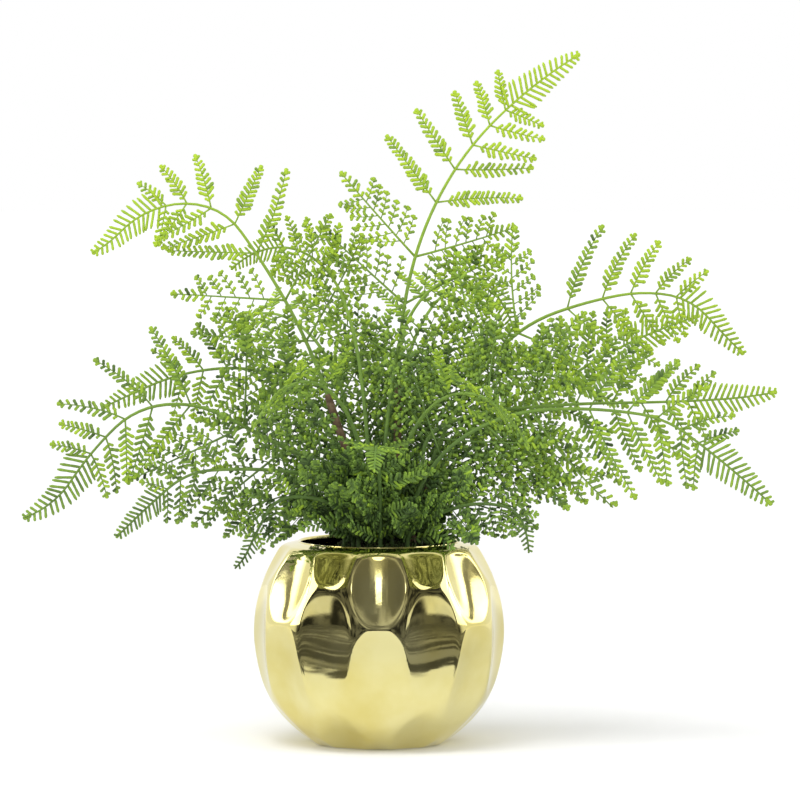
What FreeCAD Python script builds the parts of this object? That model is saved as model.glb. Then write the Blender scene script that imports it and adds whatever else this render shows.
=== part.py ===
import FreeCAD, Part
import math
import os

import Sketcher
from FreeCAD import Placement, Rotation, Vector

# A brass planter pot with pressed hexagonal facets, and the artificial fern that stands in it.
# Millimetres. The origin is the centre of the pot's base, +Z is up and the front faces -Y.
#
# The fern is planted in a plastic liner pot that lifts straight out of the brass pot: plaster
# weights the liner, stiff foam above it grips the petioles and their wire cores, and a mat of
# moss hides the foam.

SIZES = {
    # brass pot: the outline is two arcs that meet at the belly, a tight shoulder and a flat lip
    "pot_height": 101.0,
    "belly_radius": 62.7,
    "belly_height": 54.0,
    "lower_arc": 66.0,
    "upper_arc": 79.0,
    "shoulder_arc": 6.0,
    "lip_slope": 13.0,
    "lip_roll": 1.1,
    "lip_step": 0.35,
    "mouth_radius": 38.9,
    "pot_wall": 1.5,
    # pressed facets: each is hollow across and bowed up and down, seven round the pot to a row
    "facet_scoop": 93.0,
    "facet_reach": 20.0,
    "facet_clear": 14.0,
    "facet_count": 7,
    # liner pot and what it holds
    "liner_gap": 2.1,
    "liner_base_radius": 24.0,
    "liner_flange": 3.0,
    "liner_wall": 1.2,
    "liner_bead": 2.4,
    "liner_drop": 6.5,
    "ballast_depth": 30.0,
    "foam_drop": 1.5,
    "moss_depth": 7.0,
    "moss_edge": 3.0,
    "moss_gap": 1.4,
    "moss_right": 3.0,
    "moss_back": 4.0,
    # stems
    "rachis_radius": 1.1,
    "foam_under": 14.3,
    "wire_radius": 0.45,
    "wire_grip": 22.0,
    "wire_prong": 8.0,
    "wrap_radius": 2.1,
    "hole_gap": 0.3,
    # leaves
    "fern_size": 1.0,
    "leaf_thickness": 0.7,
    "leaf_gap": 2.0,
    "leaf_angle": 62.0,
    "lift_travel": 120.0,
}

# Facet rows: which outline arc they lie on, how far along it their centre is (0 at the belly, 1
# where the arc meets the shoulder or the base), how deep they are pressed, the radius they are
# bowed to, and whether they stand half a step round.
FACETS = {
    "upper": ("upper_arc", 0.6604, 2.6, 600.0, False),
    "shoulder": ("upper_arc", 0.9675, 1.6, 400.0, True),
    "lower": ("lower_arc", 0.286, 3.0, 140.0, False),
    "belly": ("lower_arc", 0.0455, 3.0, 135.0, True),
    "foot": ("lower_arc", 1.1475, 1.5, 180.0, False),
    "base": ("lower_arc", 0.8743, 2.0, 180.0, True),
}

# A facet's cut reaches this many times its half width along the outline, to either side.
FACET_SPAN = 2.0

# Fronds. Each stands at an angle and radius in the foam and grows in one upright plane, whose
# azimuth comes third (0 is +X, 90 is the back). Its stem is a chain of tangent arcs, each given
# by its length and the elevation it ends at. The leaflets' plane turns about the stem from the
# first roll to the second, where 0 lies flat and 90 stands upright. The last value is its size.
FRONDS = {
    "top": (15, 9.3, 8, [(80, 89), (32, 83), (36, 72), (42, 57), (34, 44), (53, 31)], 84, 96, 1.0),
    "left_high": (165, 3.0, 178, [(10, 72), (68, 71), (54, 60), (38, 54), (26, 8), (16, -14),
                                  (26, -46), (18, -28)], 80, 100, 0.95),
    "right_high": (-7, 16.5, -3, [(8, 78), (34, 70), (63, 49), (36, 20), (32, 11), (24, -8),
                                  (24, -48), (26, -44)], 80, 102, 0.95),
    "right_long": (-20, 22.0, -6, [(44, 87), (20, 22), (32, 6), (60, 1), (46, 4), (28, 12)],
                   78, 92, 0.95),
    "right_arch": (-38, 18.0, -12, [(34, 60), (34, 30), (40, 4), (46, -8), (26, -36), (54, -42)],
                   104, 78, 1.0),
    "right_mid": (30, 17.0, 12, [(14, 60), (30, 44), (36, 34), (42, 32), (34, 24), (38, 16)],
                  62, 84, 0.9),
    "right_low": (-50, 22.0, -22, [(10, 36), (28, 14), (22, -12), (14, -70), (14, -88)],
                  50, 84, 0.42),
    "right_back": (52, 20.0, 34, [(44, 66), (34, 34), (36, 6), (38, -18), (34, -34)], 24, 52, 0.85),
    "back_right": (74, 13.0, 62, [(70, 70), (40, 46), (36, 18), (34, -14), (28, -34)], 12, 34, 0.9),
    "back_mid": (102, 21.0, 98, [(52, 66), (36, 34), (38, 0), (34, -26), (26, -38)], 4, -16, 0.85),
    "back_left": (132, 13.0, 128, [(64, 70), (40, 40), (36, 10), (34, -18), (30, -34)],
                  -14, -36, 0.9),
    "left_mid": (160, 16.0, 172, [(52, 72), (36, 30), (32, -2), (42, -24), (26, -26)],
                 104, 76, 0.95),
    "left_long": (200, 18.0, 190, [(32, 62), (20, 24), (28, 30), (20, 24), (28, -8), (26, -44),
                                   (34, -56), (30, -18)], 70, 100, 1.0),
    "left_low": (222, 17.0, 205, [(28, 46), (26, 8), (44, -2), (24, -38), (36, -42)], 58, 92, 0.75),
    "left_short": (240, 20.0, 203, [(18, 40), (32, -6), (14, -58), (20, -64), (12, -40)],
                   58, 84, 0.45),
    "centre_right": (-80, 6.0, 20, [(94, 80), (30, 50), (26, 6), (18, -50), (26, -72)],
                     70, 96, 0.6),
    "centre_left": (-115, 9.0, 158, [(88, 82), (36, 68), (26, 32), (22, -8), (26, -44)],
                    64, 90, 0.68),
    "front_left": (250, 14.0, 238, [(44, 72), (34, 40), (34, 4), (30, -30), (24, -46)],
                   26, 50, 0.8),
    "front_mid": (272, 21.0, 268, [(24, 70), (28, 34), (30, -6), (26, -42)], 8, -14, 0.55),
    "front_right": (300, 13.0, 308, [(40, 70), (34, 38), (34, 2), (30, -30), (26, -48)],
                    -30, -54, 0.8),
}

# Fronds whose stem is wrapped in brown paper, and how many of its arcs the paper covers.
WRAPPED = {"top": 1, "left_high": 2, "right_high": 2}

# Leaflet pairs, counted back from the frond's tip: distance, length and greatest half width.
LEAFLETS = [
    (37, 17, 3.5), (47, 23, 4.0), (61, 29, 4.5), (77, 34, 4.5), (100, 42, 5.0),
    (136, 52, 6.0), (180, 64, 6.5),
]
TIP_LEAF_LENGTH, TIP_LEAF_HALF_WIDTH = 26, 4.0
BARE_STEM, ABOVE_WRAP = 22.0, 2.0
LEAF_ROOT, LEAF_WIDEST = 0.8, 0.35
LEAF_LEAST = 8.0

# An arc of the stem that turns by less than this is made as a straight run.
STRAIGHT = math.radians(0.5)

doc = FreeCAD.newDocument("planter")
sheet = doc.addObject("Spreadsheet::Sheet", "Sizes")
for row, (alias, value) in enumerate(SIZES.items(), 1):
    sheet.set(f"A{row}", alias)
    sheet.set(f"B{row}", str(value))
    sheet.setAlias(f"B{row}", alias)
doc.recompute()


def size(alias):
    """A driving size, read from the sheet."""
    return float(sheet.get(alias))


def origin_feature(body, role):
    return next(f for f in body.Origin.OriginFeatures if f.Role == role)


def add_sketch(body, name, role="XZ_Plane"):
    sketch = body.newObject("Sketcher::SketchObject", f"{body.Name}_{name}")
    sketch.AttachmentSupport = [(origin_feature(body, role), "")]
    sketch.MapMode = "FlatFace"
    return sketch


def bind(sketch, name, kind, elements, start, expression):
    """Adds a dimension to a sketch and ties it to the sheet."""
    index = sketch.addConstraint(Sketcher.Constraint(kind, *elements, start))
    sketch.renameConstraint(index, name)
    sketch.setExpression("Constraints." + name, expression)


def chain(sketch, count, smooth=()):
    """Joins each edge's end to the next edge's start, and makes the named joins tangent."""
    for edge in range(count):
        kind = "Tangent" if edge in smooth else "Coincident"
        sketch.addConstraint(Sketcher.Constraint(kind, edge, 2, (edge + 1) % count, 1))


def arc(x, y, radius, start, end):
    circle = Part.Circle(Vector(x, y, 0), Vector(0, 0, 1), radius)
    return Part.ArcOfCircle(circle, start, end)


def line(x1, y1, x2, y2):
    return Part.LineSegment(Vector(x1, y1, 0), Vector(x2, y2, 0))


def revolve(body, sketch, name):
    turned = body.newObject("PartDesign::Revolution", f"{body.Name}_{name}")
    turned.Profile = sketch
    turned.ReferenceAxis = (sketch, ["V_Axis"])
    turned.Angle = 360
    return turned


# ---- brass pot ----


def lip_place():
    """Radius and height of the lip's top, under the rolled edge."""
    return size("mouth_radius") + size("lip_roll"), size("pot_height") - size("lip_step")


def arc_spans():
    """The angles from the belly at which the lower arc meets the base and the upper arc the
    shoulder. The shoulder's centre lies where an arc touches both the upper arc and the lip."""
    level, lower, upper = size("belly_height"), size("lower_arc"), size("upper_arc")
    slope, bend = math.radians(size("lip_slope")), size("shoulder_arc")
    lip_x, lip_y = lip_place()
    high_x = size("belly_radius") - upper
    reach = (lip_x - high_x) * math.sin(slope) + (lip_y - level) * math.cos(slope) - bend
    turn = math.pi / 2 - slope - math.acos(reach / (upper - bend))
    return {"lower_arc": -math.asin(level / lower), "upper_arc": turn}


def pot_outline(body, skin):
    """Turns the pot's plain outline: skin 0 is the outside, and pot_wall the inside of the wall."""
    belly, level = size("belly_radius"), size("belly_height")
    lower, upper, bend = size("lower_arc"), size("upper_arc"), size("shoulder_arc")
    slope = math.radians(size("lip_slope"))
    out, up = math.sin(slope), math.cos(slope)
    lip_x, lip_y = lip_place()
    low_x, high_x = belly - lower, belly - upper
    turn = arc_spans()["upper_arc"]
    bend_x = high_x + (upper - bend) * math.cos(turn)
    bend_y = level + (upper - bend) * math.sin(turn)
    base = low_x + math.sqrt((lower - skin) ** 2 - (level - skin) ** 2)
    start = math.atan2(skin - level, base - low_x)
    end_x, end_y = lip_x - skin * out, lip_y - skin * up
    sketch = add_sketch(body, "outline")
    edges = [
        line(0, skin, base, skin),
        arc(low_x, level, lower - skin, start, 0),
        arc(high_x, level, upper - skin, 0, turn),
        arc(bend_x, bend_y, bend - skin, turn, math.pi / 2 - slope),
        line(bend_x + (bend - skin) * out, bend_y + (bend - skin) * up, end_x, end_y),
        line(end_x, end_y, 0, end_y),
        line(0, end_y, 0, skin),
    ]
    sketch.addGeometry(edges, False)
    chain(sketch, len(edges), smooth=(2,))
    wall = " - Sizes.pot_wall" if skin else ""
    add = sketch.addConstraint
    add(Sketcher.Constraint("Horizontal", 0))
    add(Sketcher.Constraint("Horizontal", 5))
    add(Sketcher.Constraint("Vertical", 6))
    add(Sketcher.Constraint("PointOnObject", 0, 1, -2))
    if skin:
        bind(sketch, "floor", "DistanceY", (-1, 1, 0, 1), skin, "Sizes.pot_wall")
    else:
        add(Sketcher.Constraint("PointOnObject", 0, 1, -1))
    bind(sketch, "belly_level", "DistanceY", (-1, 1, 1, 3), level, "Sizes.belly_height")
    bind(sketch, "belly_width", "DistanceX", (-1, 1, 1, 2), belly - skin, "Sizes.belly_radius" + wall)
    bind(sketch, "lower", "Radius", (1,), lower - skin, "Sizes.lower_arc" + wall)
    bind(sketch, "upper", "Radius", (2,), upper - skin, "Sizes.upper_arc" + wall)
    bind(sketch, "shoulder", "Radius", (3,), bend - skin, "Sizes.shoulder_arc" + wall)
    doc.recompute()
    return revolve(body, sketch, "turned")


def press_facets(body, row, skin):
    """Presses one row of facets: a saddle that is hollow across and bowed along the outline."""
    before = body.Tip.Shape.Volume
    arc_name, share, depth, bow, half_step = FACETS[row]
    outline_arc = size(arc_name)
    lean = share * arc_spans()[arc_name]
    inward = outline_arc - depth - bow
    centre_r = size("belly_radius") - outline_arc + inward * math.cos(lean)
    centre_z = size("belly_height") + inward * math.sin(lean)
    count = int(size("facet_count"))
    round_pot = Rotation(Vector(0, 1, 0), 180 / count if half_step else 0)
    sketch = add_sketch(body, row)
    place = round_pot.multVec(Vector(0, centre_z, centre_r))
    sketch.AttachmentOffset = Placement(place, round_pot * Rotation(Vector(1, 0, 0), 90 - math.degrees(lean)))
    scoop, reach = size("facet_scoop") + skin, size("facet_reach")
    bottom = bow - skin
    top = bow + size("facet_clear")
    edge = bottom + scoop - math.sqrt(scoop**2 - reach**2)
    swing = math.asin(reach / scoop)
    sketch.addGeometry(
        [
            arc(0, bottom + scoop, scoop, -math.pi / 2 - swing, -math.pi / 2 + swing),
            line(reach, edge, reach, top),
            line(reach, top, -reach, top),
            line(-reach, top, -reach, edge),
        ],
        False,
    )
    chain(sketch, 4)
    wall = " + Sizes.pot_wall" if skin else ""
    add = sketch.addConstraint
    add(Sketcher.Constraint("Vertical", 1))
    add(Sketcher.Constraint("Horizontal", 2))
    add(Sketcher.Constraint("Vertical", 3))
    add(Sketcher.Constraint("PointOnObject", 0, 3, -2))
    bind(sketch, "scoop", "Radius", (0,), scoop, "Sizes.facet_scoop" + wall)
    bind(sketch, "reach", "DistanceX", (2, 2, 2, 1), 2 * reach, "2 * Sizes.facet_reach")
    hub = f"Sizes.facet_scoop + {bow}"
    bind(sketch, "hub", "DistanceY", (-1, 1, 0, 3), bottom + scoop, hub)
    bind(sketch, "top", "DistanceY", (-1, 1, 1, 2), top, f"Sizes.facet_clear + {bow}")
    scooped = body.newObject("PartDesign::Groove", f"{body.Name}_{row}_scoop")
    scooped.Profile = sketch
    scooped.ReferenceAxis = (sketch, ["H_Axis"])
    scooped.Midplane = True
    scooped.Angle = math.degrees(2 * FACET_SPAN * reach / bow)
    ring = body.newObject("PartDesign::PolarPattern", f"{body.Name}_{row}_ring")
    ring.Originals = [scooped]
    ring.Axis = (origin_feature(body, "Z_Axis"), [""])
    ring.Angle = 360
    ring.setExpression("Occurrences", "Sizes.facet_count")
    body.Tip = ring
    doc.recompute()
    if not ring.Shape.Volume < before:
        raise RuntimeError(f"the {row} facets cut nothing")


def pot_form(name, skin):
    body = doc.addObject("PartDesign::Body", name)
    pot_outline(body, skin)
    doc.recompute()
    for row in FACETS:
        press_facets(body, row, skin)
    return body


def make_pot():
    """The pressed wall is the outer form less the same form one wall further in, and its mouth
    is cut open and finished with a rolled edge."""
    outside = pot_form("pot_outside", 0.0)
    inside = pot_form("pot_inside", size("pot_wall"))
    hollow = doc.addObject("Part::Cut", "pot_hollow")
    hollow.Base, hollow.Tool = outside, inside
    mouth = doc.addObject("Part::Cylinder", "pot_mouth")
    mouth.setExpression("Radius", "Sizes.mouth_radius + Sizes.lip_roll")
    mouth.setExpression("Height", "Sizes.pot_height")
    mouth.setExpression("Placement.Base.z", "Sizes.belly_height")
    opened = doc.addObject("Part::Cut", "pot_opened")
    opened.Base, opened.Tool = hollow, mouth
    roll = doc.addObject("Part::Torus", "pot_roll")
    roll.setExpression("Radius1", "Sizes.mouth_radius + Sizes.lip_roll")
    roll.setExpression("Radius2", "Sizes.lip_roll")
    roll.setExpression("Placement.Base.z", "Sizes.pot_height - Sizes.lip_roll")
    shell = doc.addObject("Part::Fuse", "pot_shell")
    shell.Base, shell.Tool = opened, roll
    shell.Label = "pot_shell"
    return shell


# ---- liner pot, ballast, foam and moss ----

LINER_TOP = "Sizes.pot_height - Sizes.liner_drop"
LINER_NECK = "(Sizes.mouth_radius - Sizes.liner_gap - Sizes.liner_flange)"
LINER_FLOOR = "(Sizes.pot_wall + Sizes.liner_wall)"
BALLAST_TOP = LINER_FLOOR + " + Sizes.ballast_depth"
PRONG_FOOT = BALLAST_TOP + " + Sizes.foam_under"
PETIOLE_FOOT = PRONG_FOOT + " + Sizes.wire_prong"
FOAM_TOP = LINER_TOP + " - Sizes.foam_drop"


def liner_levels():
    """Heights of the liner's floor, of the ballast's top, of the foam's top and of its own rim."""
    floor = size("pot_wall") + size("liner_wall")
    top = size("pot_height") - size("liner_drop")
    return floor, floor + size("ballast_depth"), top - size("foam_drop"), top


def liner_neck():
    return size("mouth_radius") - size("liner_gap") - size("liner_flange")


def petiole_foot():
    """Height of the petioles' lower ends, which their wires' prongs stand out of."""
    return liner_levels()[1] + size("foam_under") + size("wire_prong")


def liner_bore(level):
    """Radius of the liner's tapered inside at a height, as an expression on the sheet."""
    taper = f"({LINER_NECK} - Sizes.liner_base_radius) / ({LINER_TOP} - {LINER_FLOOR})"
    return f"Sizes.liner_base_radius - Sizes.liner_wall + {taper} * ({level} - {LINER_FLOOR})"


def make_liner():
    """A tapered cup with a flange that clears the brass pot's mouth."""
    body = doc.addObject("PartDesign::Body", "liner_pot")
    body.Label = "liner_pot"
    rest, wall, bead = size("pot_wall"), size("liner_wall"), size("liner_bead")
    floor, _, _, top = liner_levels()
    base, neck, rim = size("liner_base_radius"), liner_neck(), liner_neck() + size("liner_flange")
    corners = [
        (0, rest), (base, rest), (neck, top - bead), (rim, top - bead),
        (rim, top), (neck - wall, top), (base - wall, floor), (0, floor),
    ]
    sketch = add_sketch(body, "section")
    nexts = corners[1:] + corners[:1]
    sketch.addGeometry([line(*here, *there) for here, there in zip(corners, nexts)], False)
    chain(sketch, len(corners))
    sketch.addConstraint(Sketcher.Constraint("PointOnObject", 0, 1, -2))
    sketch.addConstraint(Sketcher.Constraint("PointOnObject", 7, 1, -2))
    for edge in (0, 2, 4, 6):
        sketch.addConstraint(Sketcher.Constraint("Horizontal", edge))
    sketch.addConstraint(Sketcher.Constraint("Vertical", 3))
    across = [
        ("foot", 1, base, "Sizes.liner_base_radius"),
        ("neck", 2, neck, LINER_NECK),
        ("flange", 3, rim, LINER_NECK + " + Sizes.liner_flange"),
        ("bore_top", 5, neck - wall, LINER_NECK + " - Sizes.liner_wall"),
        ("bore_foot", 6, base - wall, "Sizes.liner_base_radius - Sizes.liner_wall"),
    ]
    for name, edge, start, expression in across:
        bind(sketch, name, "DistanceX", (-1, 1, edge, 1), start, expression)
    upward = [
        ("rest", 0, rest, "Sizes.pot_wall"),
        ("bead", 2, top - bead, LINER_TOP + " - Sizes.liner_bead"),
        ("rim", 4, top, LINER_TOP),
        ("floor", 7, floor, "Sizes.pot_wall + Sizes.liner_wall"),
    ]
    for name, edge, start, expression in upward:
        bind(sketch, name, "DistanceY", (-1, 1, edge, 1), start, expression)
    revolve(body, sketch, "turned")
    return body


def cone_in_liner(name, low, high):
    """A plug that fills the liner's taper between two heights, given as expressions."""
    plug = doc.addObject("Part::Cone", name)
    plug.setExpression("Radius1", liner_bore(low))
    plug.setExpression("Radius2", liner_bore(high))
    plug.setExpression("Height", f"{high} - ({low})")
    plug.setExpression("Placement.Base.z", low)
    return plug


def make_ballast():
    ballast = cone_in_liner("ballast", LINER_FLOOR, BALLAST_TOP)
    ballast.Label = "ballast"
    return ballast


def foot_of(frond):
    """Where a frond stands in the foam."""
    angle, radius = math.radians(frond[0]), frond[1]
    return Vector(radius * math.cos(angle), radius * math.sin(angle), 0)


def upright(name, place, radius, height, bottom):
    """A cylinder on a frond's foot, with its radius, height and bottom tied to the sheet."""
    post = doc.addObject("Part::Cylinder", name)
    post.Placement.Base = place
    post.setExpression("Radius", radius)
    post.setExpression("Height", height)
    post.setExpression("Placement.Base.z", bottom)
    return post


def compound(name, links):
    group = doc.addObject("Part::Compound", name)
    group.Links = links
    return group


def make_foam():
    """Stiff foam with a socket for each petiole and a finer one for its wire's prong."""
    block = cone_in_liner("foam_block", BALLAST_TOP, FOAM_TOP)
    sockets = []
    for name, frond in FRONDS.items():
        place = foot_of(frond)
        depth = f"{FOAM_TOP} - ({PETIOLE_FOOT})"
        sockets.append(upright(f"socket_{name}", place, "Sizes.rachis_radius", depth, PETIOLE_FOOT))
        sockets.append(
            upright(f"prong_hole_{name}", place, "Sizes.wire_radius", "Sizes.wire_prong", PRONG_FOOT)
        )
    foam = doc.addObject("Part::Cut", "foam_plug")
    foam.Base, foam.Tool = block, compound("foam_sockets", sockets)
    foam.Label = "foam_plug"
    return foam


def make_moss():
    """A low dome of moss, off centre, with a hole round each stem."""
    body = doc.addObject("PartDesign::Body", "moss_dome")
    right, back, edge, depth = (size("moss_" + name) for name in ("right", "back", "edge", "depth"))
    floor, _, foam_top, top = liner_levels()
    base, rise_share = size("liner_base_radius"), (foam_top - floor) / (top - floor)
    bore = base - size("liner_wall") + (liner_neck() - base) * rise_share
    radius = bore - math.hypot(right, back) - size("moss_gap")
    rise = depth - edge
    crown = (radius**2 + rise**2) / (2 * rise)
    sketch = add_sketch(body, "section")
    sketch.addGeometry(
        [
            line(0, 0, radius, 0),
            line(radius, 0, radius, edge),
            arc(0, depth - crown, crown, math.acos(radius / crown), math.pi / 2),
            line(0, depth, 0, 0),
        ],
        False,
    )
    chain(sketch, 4)
    sketch.addConstraint(Sketcher.Constraint("Coincident", 0, 1, -1, 1))
    sketch.addConstraint(Sketcher.Constraint("Horizontal", 0))
    sketch.addConstraint(Sketcher.Constraint("Vertical", 1))
    sketch.addConstraint(Sketcher.Constraint("Vertical", 3))
    sketch.addConstraint(Sketcher.Constraint("PointOnObject", 2, 3, -2))
    aside = "sqrt(Sizes.moss_right ^ 2 + Sizes.moss_back ^ 2)"
    spread = f"{liner_bore(FOAM_TOP)} - {aside} - Sizes.moss_gap"
    bind(sketch, "spread", "DistanceX", (0, 1, 0, 2), radius, spread)
    bind(sketch, "edge", "DistanceY", (1, 1, 1, 2), edge, "Sizes.moss_edge")
    bind(sketch, "depth", "DistanceY", (0, 1, 2, 2), depth, "Sizes.moss_depth")
    revolve(body, sketch, "turned")
    body.Placement.Base = Vector(right, back, foam_top)
    holes = []
    for name, frond in FRONDS.items():
        stem = "Sizes.wrap_radius" if name in WRAPPED else "Sizes.rachis_radius"
        hole = upright(
            f"moss_hole_{name}", foot_of(frond), stem + " + Sizes.hole_gap",
            "2 * Sizes.moss_depth", FOAM_TOP + " - Sizes.moss_edge"
        )
        holes.append(hole)
    moss = doc.addObject("Part::Cut", "moss_mat")
    moss.Base, moss.Tool = body, compound("moss_holes", holes)
    moss.Label = "moss_mat"
    return moss


# ---- fronds ----


def stem_bends(frond):
    """The stem's arcs as (length, elevation at its start, elevation at its end), in radians."""
    bends, before = [], math.pi / 2
    for length, elevation in frond[3]:
        after = math.radians(elevation)
        bends.append((length * size("fern_size"), before, after))
        before = after
    return bends


def along_bend(length, before, after):
    """How far an arc carries the stem outward and upward: elevation changes evenly along it."""
    change = after - before
    if abs(change) < STRAIGHT:
        return length * math.cos(before), length * math.sin(before)
    radius = length / change
    return radius * (math.sin(after) - math.sin(before)), radius * (math.cos(before) - math.cos(after))


def stem_start(frond):
    _, _, foam_top, _ = liner_levels()
    return foot_of(frond) + Vector(0, 0, foam_top + size("moss_depth"))


def stem_point(frond, distance):
    """The stem's place and elevation at a distance from the moss."""
    azimuth = math.radians(frond[2])
    outward = Vector(math.cos(azimuth), math.sin(azimuth), 0)
    place = stem_start(frond)
    elevation = math.pi / 2
    for length, before, after in stem_bends(frond):
        part = min(distance, length)
        elevation = before + (after - before) * part / length
        out, up = along_bend(part, before, elevation)
        place = place + outward * out + Vector(0, 0, up)
        distance -= part
        if distance <= 0:
            break
    return place, elevation


def stem_wire(frond, bottom, bend_count=None):
    """The stem's centre line: upright from a height to the moss, then its tangent arcs."""
    foot = foot_of(frond)
    edges = [Part.LineSegment(foot + Vector(0, 0, bottom), stem_start(frond)).toShape()]
    walked = 0.0
    for length, before, after in stem_bends(frond)[:bend_count]:
        start, middle, end = (stem_point(frond, walked + length * part)[0] for part in (0, 0.5, 1))
        bent = abs(after - before) > STRAIGHT
        edge = Part.Arc(start, middle, end) if bent else Part.LineSegment(start, end)
        edges.append(edge.toShape())
        walked += length
    return Part.Wire(edges)


def tube(path, radius):
    """A round solid along a centre line that starts straight up."""
    start = path.Edges[0].valueAt(path.Edges[0].FirstParameter)
    section = Part.Wire([Part.Circle(start, Vector(0, 0, 1), radius).toShape()])
    return path.makePipeShell([section], True, False)


def bare_length(name):
    """The stem's length below its first leaflets: the wrapped part, where it is wrapped."""
    if name not in WRAPPED:
        return BARE_STEM * size("fern_size")
    wrapped = FRONDS[name][3][: WRAPPED[name]]
    return (sum(length for length, _ in wrapped) + ABOVE_WRAP) * size("fern_size")


def blade_at(frond, distance, total):
    """The stem's place, its direction, and the blade's width direction and face there."""
    azimuth = math.radians(frond[2])
    outward = Vector(math.cos(azimuth), math.sin(azimuth), 0)
    beside = Vector(-math.sin(azimuth), math.cos(azimuth), 0)
    root, elevation = stem_point(frond, distance)
    forward = outward * math.cos(elevation) + Vector(0, 0, math.sin(elevation))
    upward = Vector(0, 0, math.cos(elevation)) - outward * math.sin(elevation)
    roll = math.radians(frond[4] + (frond[5] - frond[4]) * distance / total)
    side = beside * math.cos(roll) + upward * math.sin(roll)
    return root, forward, side, forward.cross(side)


def leaf_frames(name):
    """Each leaflet as (root, direction, width direction, face normal, length, half width)."""
    frond = FRONDS[name]
    scale = frond[6] * size("fern_size")
    total = sum(length for length, _, _ in stem_bends(frond))
    lean = math.radians(size("leaf_angle"))
    frames = []
    for back, length, half_width in LEAFLETS:
        distance = total - back * scale
        if distance < bare_length(name):
            continue
        root, forward, side, face = blade_at(frond, distance, total)
        for hand in (1, -1):
            direction = forward * math.cos(lean) + side * (hand * math.sin(lean))
            leaf = (root, direction, face.cross(direction), face, length * scale, half_width * scale)
            frames.append(leaf)
    root, _, side, face = blade_at(frond, total - TIP_LEAF_LENGTH * scale, total)
    end, _ = stem_point(frond, total)
    direction = (end - root).normalize()
    leaf = (root, direction, face.cross(direction), face)
    frames.append(leaf + (TIP_LEAF_LENGTH * scale, TIP_LEAF_HALF_WIDTH * scale))
    return frames


class Space:
    """Cells of one leaf gap each, which remember the frond that fills them."""

    def __init__(self):
        self.cell = size("leaf_gap")
        self.owner = {}
        self.keep_out = size("belly_radius") + self.cell, size("pot_height") + self.cell

    def key(self, point):
        return tuple(math.floor(value / self.cell) for value in point)

    def fill(self, point, name):
        self.owner.setdefault(self.key(point), name)

    def blocked(self, point, name):
        """Whether a point is beside another frond, or in or beside the pot."""
        radius, height = self.keep_out
        if math.hypot(point.x, point.y) < radius and point.z < height:
            return True
        i, j, k = self.key(point)
        steps = (-1, 0, 1)
        near = ((i + a, j + b, k + c) for a in steps for b in steps for c in steps)
        return any(self.owner.get(key, name) != name for key in near)


def leaf_rows(frame):
    """Points across a leaflet, a row to every leaf gap of its length."""
    root, direction, across, _, length, half_width = frame
    step = size("leaf_gap")
    for row in range(1, int(length / step) + 1):
        share = row * step / length
        width = half_width * min(share / LEAF_WIDEST, (1 - share) / (1 - LEAF_WIDEST))
        middle = root + direction * (row * step)
        sides = max(1, math.ceil(width / step))
        yield row * step, [middle + across * (width * i / sides) for i in range(-sides, sides + 1)]


def leaf_solid(frame, length):
    """A thin kite: narrow at its root, widest a third of the way out, and pointed."""
    root, direction, across, face, _, half_width = frame
    start = root - face * (size("leaf_thickness") / 2)
    widest = start + direction * (length * LEAF_WIDEST)
    corners = [
        start - across * LEAF_ROOT,
        widest - across * half_width,
        start + direction * length,
        widest + across * half_width,
        start + across * LEAF_ROOT,
    ]
    return Part.Face(Part.makePolygon(corners + corners[:1])).extrude(face * size("leaf_thickness"))


def make_fronds():
    """Each frond is one moulded piece: its stem with its leaflets.

    The stems fill their space first. A leaflet then stops short of what another frond has
    filled, and where less than a stub would be left it is missing."""
    space = Space()
    for name, frond in FRONDS.items():
        total = sum(length for length, _, _ in stem_bends(frond))
        steps = math.ceil(total / size("leaf_gap"))
        for step in range(steps + 1):
            space.fill(stem_point(frond, total * step / steps)[0], name)
    foot = petiole_foot()
    nodes = []
    for name, frond in FRONDS.items():
        leaves = []
        for frame in leaf_frames(name):
            length, rows = frame[4], []
            for distance, points in leaf_rows(frame):
                if distance > size("leaf_gap") and any(space.blocked(p, name) for p in points):
                    length = distance - size("leaf_gap")
                    break
                rows += points
            if length < LEAF_LEAST * size("fern_size"):
                continue
            for point in rows:
                space.fill(point, name)
            leaves.append(leaf_solid(frame, length))
        stem = tube(stem_wire(frond, foot), size("rachis_radius"))
        bore = Part.makeCylinder(
            size("wire_radius"), size("wire_grip"), foot_of(frond) + Vector(0, 0, foot)
        )
        node = doc.addObject("Part::Feature", f"frond_{name}")
        node.Shape = stem.multiFuse(leaves).cut(bore)
        node.Label = f"frond_{name}"
        nodes.append(node)
    return nodes


def make_wires():
    """The steel core of each petiole, which stands out below it as a prong."""
    length = "Sizes.wire_prong + Sizes.wire_grip"
    wires = [
        upright(f"wire_{name}", foot_of(frond), "Sizes.wire_radius", length, PRONG_FOOT)
        for name, frond in FRONDS.items()
    ]
    group = compound("stem_wires", wires)
    group.Label = "stem_wires"
    return group


def make_wraps():
    """Brown paper wound round the three thickest stems, from the foam to their first leaflets."""
    _, _, foam_top, _ = liner_levels()
    nodes = []
    for name, count in WRAPPED.items():
        path = stem_wire(FRONDS[name], foam_top, count)
        node = doc.addObject("Part::Feature", f"paper_wrap_{name}")
        paper = tube(path, size("wrap_radius"))
        node.Shape = paper.cut(tube(path, size("rachis_radius")))
        node.Label = f"paper_wrap_{name}"
        nodes.append(node)
    return nodes


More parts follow.
